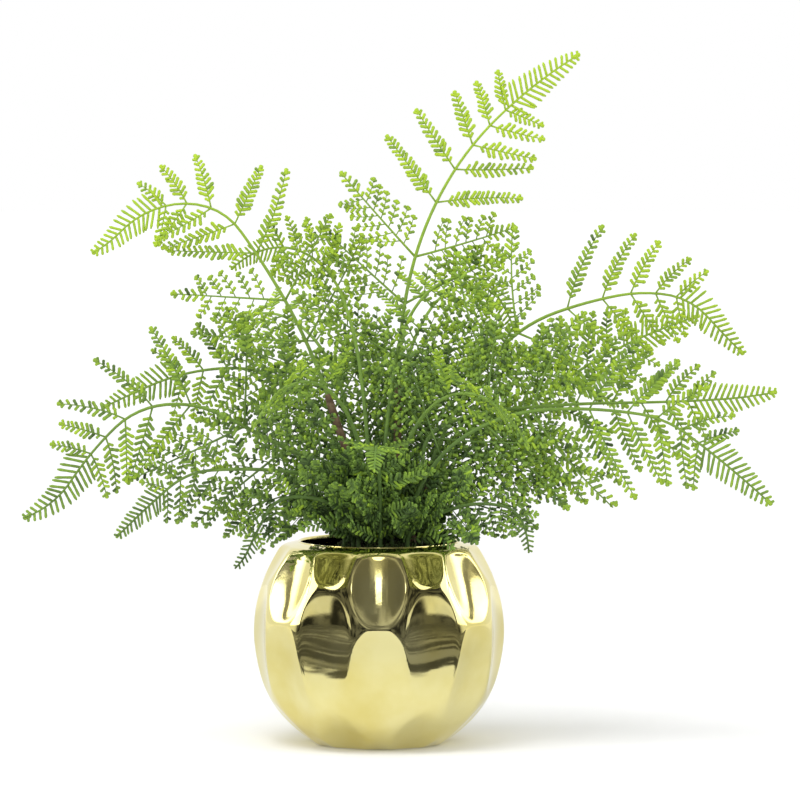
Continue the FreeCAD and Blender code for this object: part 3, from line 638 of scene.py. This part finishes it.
class Stem:
    """A frond's centre line: upright out of the moss, then tangent arcs in one upright plane."""

    def __init__(self, name):
        angle, radius, azimuth, bends, self.first_roll, self.last_roll, self.size = FRONDS[name]
        self.foot = np.array([radius * math.cos(math.radians(angle)),
                              radius * math.sin(math.radians(angle)), MOSS_TOP])
        azimuth = math.radians(azimuth)
        self.outward = np.array([math.cos(azimuth), math.sin(azimuth), 0.0])
        self.beside = np.array([-math.sin(azimuth), math.cos(azimuth), 0.0])
        self.lengths = np.array([length for length, _ in bends], float)
        self.ends = np.concatenate([[0.0], np.cumsum(self.lengths)])
        self.leans = np.radians([90.0] + [elevation for _, elevation in bends])
        self.total = self.ends[-1]
        wrapped = WRAPPED.get(name, 0)
        self.bare = self.ends[wrapped] + 2.0 if wrapped else BARE_STEM

    def arc(self, i, part):
        """Outward and upward travel along arc i, whose elevation changes evenly with length."""
        start = self.leans[i]
        change = self.leans[i + 1] - start
        change = np.where(np.abs(change) < 1e-6, 1e-6, change)
        lean = start + change * part / self.lengths[i]
        radius = self.lengths[i] / change
        out = radius * (np.sin(lean) - np.sin(start))
        return out, radius * (np.cos(start) - np.cos(lean)), lean

    def at(self, distance):
        """Places and the three directions (along, across the blade, out of its face)."""
        distance = np.clip(np.atleast_1d(np.asarray(distance, float)), 0.0, self.total)
        arcs = np.arange(len(self.lengths))
        out, up, _ = self.arc(arcs, self.lengths)
        out, up = np.concatenate([[0], np.cumsum(out)]), np.concatenate([[0], np.cumsum(up)])
        i = np.clip(np.searchsorted(self.ends, distance, side="right") - 1, 0, len(arcs) - 1)
        more_out, more_up, lean = self.arc(i, distance - self.ends[i])
        place = self.foot + np.outer(out[i] + more_out, self.outward)
        place[:, 2] += up[i] + more_up
        along = np.outer(np.cos(lean), self.outward)
        along[:, 2] = np.sin(lean)
        rising = -np.outer(np.sin(lean), self.outward)
        rising[:, 2] = np.cos(lean)
        turned_by = (self.last_roll - self.first_roll) * distance / self.total
        roll = np.radians(self.first_roll + turned_by)
        across = np.outer(np.cos(roll), self.beside) + np.sin(roll)[:, None] * rising
        return place, along, across, np.cross(along, across)


longest = max(Stem(name).total for name in FRONDS)
print(len(FRONDS), f"stems, the longest {longest:.0f} mm")

# %% Lobes and ribs
LOBE_SIDES = 6
LOBE_PLACES = np.array([0.0, 0.22, 0.52, 0.83, 1.0])
LOBE_WIDTHS = np.array([0.70, 0.95, 0.84, 1.0, 0.50])
LOBE_THICKNESS = 0.42


def add_lobes(bundle, root, along, face, length, width, shade):
    """Small leaf lobes: flat ovals with a waist, so that their edge looks scalloped.

    A lobe's centre line is root + along * l u, lifted off the face by l u (1 - u) / 8."""
    u = LOBE_PLACES
    across = unit(np.cross(face, along))
    lift = (u * (1 - u))[None, :, None] * length[:, None, None] * face[:, None, :] / 8
    centres = root[:, None, :] + along[:, None, :] * (length[:, None] * u)[..., None] + lift
    widths = width[:, None] * LOBE_WIDTHS / 2
    spread = np.ones((len(root), len(u), 1))
    bundle.add(
        centres, across[:, None, :] * spread, face[:, None, :] * spread, widths,
        np.minimum(widths, LOBE_THICKNESS), LOBE_SIDES, shade[:, None] + 0.12 * u
    )


def add_ribs(bundle, centres, face, start, end, sides, shade):
    """Thin round ribs that taper evenly from a start radius to an end radius."""
    along = unit(np.gradient(centres, axis=1))
    across = unit(np.cross(face, along))
    share = np.linspace(0, 1, centres.shape[1])
    radii = start[:, None] * (1 - share) + end[:, None] * share
    bundle.add(centres, across, unit(np.cross(along, across)), radii, radii, sides, shade)


def curve(root, along, bend, length, u):
    """Points of a leaflet's rib: root + along * l u + bend * l u * u."""
    reach = length[:, None, None] * u[None, :, None]
    sag = bend[:, None, :] * reach * u[None, :, None]
    return root[:, None, :] + along[:, None, :] * reach + sag


# %% One side of lobes along many ribs
LOBE_LEAN = math.radians(56.0)


def fringe(bundle, ribs, count, lobe_length, lobe_width, shade, first=0.14, taper=0.55):
    """Both sides' lobes along a set of ribs, alternating, shorter towards the tip, and a club.

    ribs holds (root, along, bend, face, length) arrays, and every rib gets the same count."""
    root, along, bend, face, length = ribs
    ribs_n = len(root)
    for hand in (1.0, -1.0):
        places = np.linspace(first, 0.93, count) + (0.25 / count if hand > 0 else 0.0)
        places = np.clip(places, 0, 0.97)
        here = curve(root, along, bend, length, places)
        forward = unit(along[:, None, :] + 2 * bend[:, None, :] * places[None, :, None])
        wide = unit(np.cross(face[:, None, :], forward))
        wobble = rng.normal(0.0, 0.10, (ribs_n, count, 1))
        lean = LOBE_LEAN + rng.normal(0.0, 0.10, (ribs_n, count, 1))
        tip = forward * np.cos(lean) + hand * wide * np.sin(lean) + face[:, None, :] * wobble
        size = (1 - taper * places**1.3) * rng.uniform(0.88, 1.12, (ribs_n, count))
        size = size * np.clip(0.55 + (places - first) * 5, 0, 1)
        flat = (ribs_n * count, 3)
        tip = unit(tip).reshape(flat)
        out = np.broadcast_to(face[:, None, :], here.shape).reshape(flat)
        out = unit(out - tip * np.sum(out * tip, axis=1, keepdims=True))
        lengths = (lobe_length[:, None] * size).ravel()
        widths = (lobe_width[:, None] * (0.6 + 0.4 * size)).ravel()
        tint = (shade[:, None] + rng.normal(0, 0.15, size.shape)).ravel()
        add_lobes(bundle, here.reshape(flat), tip, out, lengths, widths, tint)
    end = curve(root, along, bend, length, np.array([0.94]))[:, 0]
    forward = unit(along + 2 * bend)
    out = unit(face - forward * np.sum(face * forward, axis=1, keepdims=True))
    add_lobes(bundle, end, forward, out, lobe_length * 0.62, lobe_width * 1.15, shade + 0.08)


# %% Leaflets
# counted back from the tip: distance, length and whether the leaflet branches again
LEAFLETS = [
    (47, 19, 0), (58, 24, 0), (71, 30, 0), (86, 36, 0), (105, 44, 0),
    (134, 54, 1), (158, 57, 1), (186, 62, 1), (212, 58, 1), (238, 52, 1),
]
LEAF_LEAN = math.radians(62.0)
LOBE_PITCH, LOBE_LENGTH, LOBE_WIDTH = 2.75, 5.4, 2.0
RIB_RADIUS = 0.5
# a branched leaflet's twigs: pitch, length and lean, and the share of the leaflet they take up
TWIG_PITCH, TWIG_REACH, TWIG_LEAN, TWIG_SHARE = 9.5, 0.27, math.radians(66.0), 0.68


def leaflet_ribs(stem, distance, length, turn):
    """The pair of leaflets at a distance along the stem, each bent and turned a little.

    turn swings the pair about the stem, out of the blade's own plane."""
    place, along, across, face = (np.repeat(v, 2, axis=0) for v in stem.at(distance))
    across, face = (across * math.cos(turn) + face * math.sin(turn),
                    face * math.cos(turn) - across * math.sin(turn))
    hand = np.array([[1.0], [-1.0]])
    lean = LEAF_LEAN + rng.normal(0, 0.07, (2, 1))
    sway = face * rng.normal(0, 0.10, (2, 1))
    direction = unit(along * np.cos(lean) + hand * across * np.sin(lean) + sway)
    bend = along * rng.normal(0.10, 0.06, (2, 1)) + face * rng.normal(0, 0.07, (2, 1))
    bend[:, 2] -= 0.07
    out = unit(face - direction * np.sum(face * direction, axis=1, keepdims=True))
    return place, direction, bend, out, np.full(2, length) * rng.uniform(0.94, 1.04, 2)


def add_leaflets(bundle, stem, distance, length, branched, shade, turn=0.0):
    """A pair of leaflets. A branched one carries smaller leaflets in place of most of its lobes."""
    ribs = leaflet_ribs(stem, distance, length, turn)
    root, along, bend, face, lengths = ribs
    shades = shade + rng.normal(0, 0.07, 2)
    u = np.linspace(0, 1, 8)
    path = curve(root, along, bend, lengths, u)
    radius = np.full(2, RIB_RADIUS * (1.35 if branched else 1.0) * stem.size)
    out = np.broadcast_to(face[:, None, :], path.shape)
    add_ribs(bundle, path, out, radius, radius * 0.5, 5, np.full((2, 8), shade * 0.8))
    scale = 0.72 + 0.28 * min(length / 30, 1.0)
    if not branched:
        count = max(4, round(length * 0.86 / (LOBE_PITCH * scale)))
        size = np.full(2, LOBE_LENGTH * scale)
        fringe(bundle, ribs, count, size, np.full(2, LOBE_WIDTH * scale), shades)
        return
    twigs = max(4, round(length / TWIG_PITCH))
    for hand in (1.0, -1.0):
        places = np.linspace(0.16, TWIG_SHARE, twigs) + (0.04 if hand > 0 else 0.0)
        here = curve(root, along, bend, lengths, places)
        forward = unit(along[:, None, :] + 2 * bend[:, None, :] * places[None, :, None])
        wide = unit(np.cross(face[:, None, :], forward))
        lean = TWIG_LEAN + rng.normal(0, 0.10, (2, twigs, 1))
        lift = face[:, None, :] * rng.normal(0, 0.16, (2, twigs, 1))
        tip = unit(forward * np.cos(lean) + hand * wide * np.sin(lean) + lift).reshape(-1, 3)
        here = here.reshape(-1, 3)
        normal = np.broadcast_to(face[:, None, :], (2, twigs, 3)).reshape(-1, 3)
        normal = unit(normal - tip * np.sum(normal * tip, axis=1, keepdims=True))
        uneven = rng.uniform(0.9, 1.1, (2, twigs))
        reach = ((length * TWIG_REACH * (1.12 - 0.55 * places))[None, :] * uneven).ravel()
        small_bend = np.broadcast_to((forward * 0.18).reshape(-1, 3), tip.shape)
        twig_ribs = (here, tip, small_bend, normal, reach)
        line = curve(here, tip, small_bend, reach, np.linspace(0, 1, 4))
        normals = np.broadcast_to(normal[:, None, :], line.shape)
        thin = np.full(len(here), RIB_RADIUS * 0.62 * stem.size)
        add_ribs(bundle, line, normals, thin, thin * 0.6, 4, np.full((len(here), 4), shade * 0.8))
        size = np.full(len(here), LOBE_LENGTH * 0.62)
        width = np.full(len(here), LOBE_WIDTH * 0.92)
        tint = shade + rng.normal(0, 0.05, len(here))
        fringe(bundle, twig_ribs, 4, size, width, tint, first=0.2, taper=0.4)
    end_root = curve(root, along, bend, lengths, np.array([TWIG_SHARE]))[:, 0]
    end_along = unit(along + 2 * bend * TWIG_SHARE)
    ends = (end_root, end_along, bend, face, lengths * (1 - TWIG_SHARE) * 1.04)
    fringe(bundle, ends, 5, np.full(2, LOBE_LENGTH), np.full(2, LOBE_WIDTH), shades, first=0.2)


# %% A whole frond
COMB_LENGTH, NEEDLE_PITCH, NEEDLE_LENGTH, NEEDLE_WIDTH = 46.0, 3.1, 11.5, 1.5
BUD_LENGTH = 4.2
# sprigs round the foot: how far up the stem each pair grows, how long they are, and how far they
# stay below the lowest leaflets
LOW_SPRIGS = (3.0, 9.0, 16.0, 24.0, 33.0)
SPRIG_LENGTHS, SPRIG_CLEAR = (20.0, 32.0), 8.0
# fronds about the wrapped stems, and how far back from the tip their leaflets reach
SPARSE = {"front_left": 88, "front_right": 88, "centre_left": 90, "centre_right": 75, "top": 215}


def frond_shade(stem, distance):
    """Dark green low in the heart (0) to lime high outside (1): two-tone greens and painted shade.
    """
    place = stem.at(distance)[0][0]
    # painted shade: lower leaves, and those nearer the middle, take the darker greens
    height = (place[2] - MOSS_TOP) / 210.0
    spread = math.hypot(place[0], place[1]) / 190.0
    return float(np.clip(0.06 + 0.75 * height + 0.22 * spread, 0.04, 0.95))


def add_stem(bundle, stem):
    """The round stem, from the foam to its tip, where it is a little over a third as thick."""
    distance = np.linspace(0, stem.total, 48)
    place, _, across, face = stem.at(distance)
    foot = place[:1] + [[0, 0, FOAM_TOP - MOSS_TOP]]
    place = np.concatenate([foot, place])
    across, face = (np.concatenate([way[:1], way]) for way in (across, face))
    share = np.concatenate([[0.0], distance / stem.total])
    radius = STEM_RADIUS * (1 - 0.62 * share**1.5)
    tone = np.array([frond_shade(stem, d) * 0.8 for d in share * stem.total])
    bundle.add(place[None], across[None], face[None], radius[None], radius[None], 9, tone[None])


def add_comb(bundle, stem):
    """Needles with rounded ends at each side of the last stretch, and the curled bud at its tip.

    A needle's length falls as the 0.7th power of its distance from the tip."""
    comb = COMB_LENGTH * stem.size
    pitch = NEEDLE_PITCH * max(stem.size, 0.8)
    for hand in (1.0, -1.0):
        places = stem.total - np.arange(1.5 if hand > 0 else 3.0, comb, pitch)
        here, forward, wide, out = stem.at(places)
        reach = 1.5 + (NEEDLE_LENGTH - 1.5) * stem.size * ((stem.total - places) / comb) ** 0.7
        lean = math.radians(64) + rng.normal(0, 0.06, (len(places), 1))
        lift = out * rng.normal(0.0, 0.10, (len(places), 1))
        tip = unit(forward * np.cos(lean) + hand * wide * np.sin(lean) + lift)
        out = unit(out - tip * np.sum(out * tip, axis=1, keepdims=True))
        width = np.full(len(places), NEEDLE_WIDTH * (0.55 + 0.45 * stem.size))
        tint = frond_shade(stem, stem.total) + rng.normal(0.0, 0.05, len(places))
        add_lobes(bundle, here, tip, out, reach, width, tint)
    bud = np.full(1, BUD_LENGTH * stem.size)
    here, forward, _, out = stem.at(stem.total - bud)
    bright = np.full(1, frond_shade(stem, stem.total) + 0.15)
    add_lobes(bundle, here, forward, out, bud, bud * 0.6, bright)


# heights between which the paper is in sight, and the room kept clear before it: across and up
PAPER_SEEN, PAPER_CLEAR = (94.0, 140.0), (5.0, 7.0)


def paper_in_sight():
    """Points along the stretches of wound paper that can be seen from the front."""
    found = []
    for name in WRAPPED:
        place = Stem(name).at(np.arange(0.0, 100.0, 4.0))[0]
        low, high = PAPER_SEEN
        found.append(place[(place[:, 2] > low) & (place[:, 2] < high)])
    return np.concatenate(found)


PAPER = paper_in_sight()


def hides_paper(stem, distance, length):
    """Whether a leaflet of this pair would hang between the paper and the front."""
    place, along, across, _ = stem.at(distance)
    for hand in (1.0, -1.0):
        way = along * math.cos(LEAF_LEAN) + hand * across * math.sin(LEAF_LEAN)
        points = place + way * length * np.linspace(0.1, 1.0, 10)[:, None]
        gap = points[:, None] - PAPER
        level = (np.abs(gap[..., 0]) < PAPER_CLEAR[0]) & (np.abs(gap[..., 2]) < PAPER_CLEAR[1])
        if np.any(level & (gap[..., 1] < -2.0)):
            return True
    return False


def make_frond(name, material):
    """Stem, leaflets, comb, and short sprigs round the foot that hide where the stems stand."""
    stem = Stem(name)
    bundle = Bundle()
    add_stem(bundle, stem)
    first = stem.total
    for back, length, branched in LEAFLETS:
        distance = stem.total - back * stem.size
        if back > SPARSE.get(name, 300) or hides_paper(stem, distance, length * stem.size):
            continue
        if distance >= stem.bare:
            first = distance
            shade = frond_shade(stem, distance)
            add_leaflets(bundle, stem, distance, length * stem.size, branched, shade)
    for number, distance in enumerate(LOW_SPRIGS):
        if name not in WRAPPED and distance < first - SPRIG_CLEAR:
            length = rng.uniform(*SPRIG_LENGTHS)
            turn = rng.uniform(0, math.tau)
            shade = frond_shade(stem, distance)
            add_leaflets(bundle, stem, distance, length, number % 2, shade, turn)
    add_comb(bundle, stem)
    return bundle.store(f"fern_{name}", material)


def leaf_finish():
    """Moulded plastic leaf: two greens after the shade, part of it painted shade, and a fine veined
    unevenness.
    """
    material, nodes = new_material("moulded_leaf")
    mottle = nodes.noise(160.0, 3.0)
    shade = nodes.attribute("shade") + (mottle - 0.5) * 0.3
    # the dark stops are partly the leaves' own green and partly painted shade low in the heart
    colour = nodes.ramp(shade, [
        (0.0, (0.036, 0.068, 0.018)), (0.2, (0.100, 0.175, 0.038)), (0.42, (0.19, 0.315, 0.042)),
        (0.65, (0.28, 0.430, 0.032)), (0.95, (0.37, 0.530, 0.030)),
    ])
    nodes.surface(
        Base_Color=colour,
        Roughness=mottle * 0.2 + 0.42,
        Specular_IOR_Level=0.3,
        Normal=nodes.bump(nodes.noise(1400.0, 2.0), 0.25, 0.0003),
    )
    return material


leaf = leaf_finish()
for frond in FRONDS:
    piece = make_frond(frond, leaf)
    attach(piece, "fern_insert")
    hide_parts(f"frond_{frond}")

# %% [markdown]
# ## What the fern stands in
#
# The plain solids inside keep their shape and only get a finish. The moss is a mound of its own,
# grown over with short curled fibres that come from the same lobes as the leaves, and each
# wrapped stem gets its paper as a strip wound round it, whose overlaps stand out as a spiral.


# %% Moss
MOSS_TUFTS, MOSS_COLUMNS = 1300, 96


def make_moss(material):
    """A lumpy dome, (1 - s * s) high at a share s of its radius, with fibres all over."""
    low, high = (Vector(corner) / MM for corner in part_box("moss_mat"))
    centre, radius = ((low.x + high.x) / 2, (low.y + high.y) / 2), (high.x - low.x) / 2
    share = np.concatenate([[0.4, 0.96, 1.0], np.linspace(1.0, 0.05, 22)])[:, None]
    angle = np.arange(MOSS_COLUMNS) * (2 * math.pi / MOSS_COLUMNS)
    lumps = 0.5 * np.sin(5 * angle + 9 * share) + 0.4 * np.sin(11 * angle - 14 * share)
    rise = low.z + (high.z - low.z) * (0.35 + 0.5 * (1 - share**2)) + lumps * (1 - share**4)
    heights = np.where(np.arange(len(share))[:, None] < 3, low.z + 0.4, rise) + 0 * angle
    radii = radius * share + 0 * angle
    mound = turned("moss_mound", radii, heights, MOSS_COLUMNS, material, centre)
    bundle = Bundle()
    s, turn = np.sqrt(rng.uniform(0, 1, MOSS_TUFTS)) * 0.97, rng.uniform(0, math.tau, MOSS_TUFTS)
    root = np.stack([
        centre[0] + radius * s * np.cos(turn), centre[1] + radius * s * np.sin(turn),
        low.z + (high.z - low.z) * (0.30 + 0.5 * (1 - s**2)),
    ], -1)
    along = unit(rng.normal(0, 0.8, (MOSS_TUFTS, 3)) * [1, 1, 0.4] + [0, 0, 0.8])
    face = unit(np.cross(along, rng.normal(0, 1, (MOSS_TUFTS, 3))))
    length = rng.uniform(3.0, 8.5, MOSS_TUFTS) * (1.05 - 0.55 * s)
    width = rng.uniform(0.5, 1.2, MOSS_TUFTS)
    add_lobes(bundle, root, along, face, length, width, rng.uniform(0, 1, MOSS_TUFTS))
    return mound, bundle.store("moss_fibres", material)


moss, nodes = new_material("dried_moss")
tone = nodes.attribute("shade") * 0.5 + nodes.noise(220.0, 4.0) * 0.5
moss_colour = nodes.ramp(tone, [
    (0.15, (0.018, 0.012, 0.007)), (0.5, (0.035, 0.045, 0.014)), (0.85, (0.09, 0.15, 0.035)),
])
rough_moss = nodes.bump(nodes.noise(900.0), 0.6, 0.0008)
nodes.surface(Base_Color=moss_colour, Roughness=0.9, Normal=rough_moss)
for piece in make_moss(moss):
    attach(piece, "fern_insert")
    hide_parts("moss_mat")

# %% Wound paper
PAPER_PITCH, PAPER_SIDES, PAPER_STEP = 6.5, 20, 0.6


def wind_paper(name, material):
    """A strip wound round a stem. Its radius falls by a tenth across a turn, then steps back."""
    stem = Stem(name)
    low = FOAM_TOP - MOSS_TOP + 1.0
    distance = np.arange(low, stem.ends[WRAPPED[name]], PAPER_STEP)
    place, _, across, face = stem.at(distance)
    place[:, 2] += np.minimum(distance, 0.0)
    angle = np.arange(PAPER_SIDES) * (2 * math.pi / PAPER_SIDES)
    turn = (distance[:, None] / PAPER_PITCH + angle / (2 * math.pi)) % 1.0
    radius = WRAP_RADIUS * (1.02 - 0.12 * turn**0.5) + rng.normal(0, 0.03, turn.shape)
    end = np.clip((distance[-1] - distance) / 5.0, 0, 1)[:, None]
    radius = STEM_RADIUS * 1.06 + (radius - STEM_RADIUS * 1.06) * end**0.6
    ring = np.cos(angle)[:, None] * across[:, None, :] + np.sin(angle)[:, None] * face[:, None, :]
    grid = place[:, None, :] + radius[..., None] * ring
    points = np.concatenate([grid.reshape(-1, 3), place[:1], place[-1:]])
    quads = wrapped_grid(len(distance), PAPER_SIDES)
    fans = end_fans(len(distance), PAPER_SIDES)
    edge = np.concatenate([turn.ravel(), [0.5, 0.5]])
    return store(f"paper_{name}", points, quads, fans, material, {"shade": edge})


paper, nodes = new_material("wound_brown_paper")
fibre = nodes.noise(700.0, 4.0) * 0.7 + nodes.attribute("shade") * 0.5
paper_colour = nodes.ramp(fibre, [
    (0.25, (0.050, 0.032, 0.018)), (0.6, (0.12, 0.076, 0.042)), (0.95, (0.21, 0.15, 0.09)),
])
rough_paper = nodes.bump(nodes.noise(1500.0), 0.5, 0.0004)
nodes.surface(Base_Color=paper_colour, Roughness=0.85, Normal=rough_paper)
for name in WRAPPED:
    piece = wind_paper(name, paper)
    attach(piece, "fern_insert")
    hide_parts(f"paper_wrap_{name}")

# %% Finishes of the plain pieces
PLAIN = {
    # node: darkest and palest colour, roughness, metallic, noise scale, bump depth
    "liner_pot": ((0.012, 0.012, 0.012), (0.030, 0.030, 0.030), 0.38, 0.0, 300.0, 0.00005),
    "ballast": ((0.50, 0.48, 0.44), (0.80, 0.78, 0.73), 0.90, 0.0, 260.0, 0.00050),
    "foam_plug": ((0.012, 0.010, 0.006), (0.060, 0.045, 0.028), 0.95, 0.0, 700.0, 0.00060),
    "stem_wires": ((0.36, 0.37, 0.37), (0.62, 0.63, 0.63), 0.34, 1.0, 500.0, 0.00002),
}
for node, (dark, pale, rough, metal, scale, depth) in PLAIN.items():
    finish, nodes = new_material(node + "_finish")
    grain = nodes.noise(scale, 4.0)
    nodes.surface(
        Base_Color=nodes.ramp(grain, [(0.3, dark), (0.7, pale)]), Metallic=metal,
        Roughness=grain * 0.2 + (rough - 0.1), Normal=nodes.bump(grain, 0.5, depth),
    )
    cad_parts[node].data.materials.clear()
    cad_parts[node].data.materials.append(finish)
print("finished", ", ".join(PLAIN))
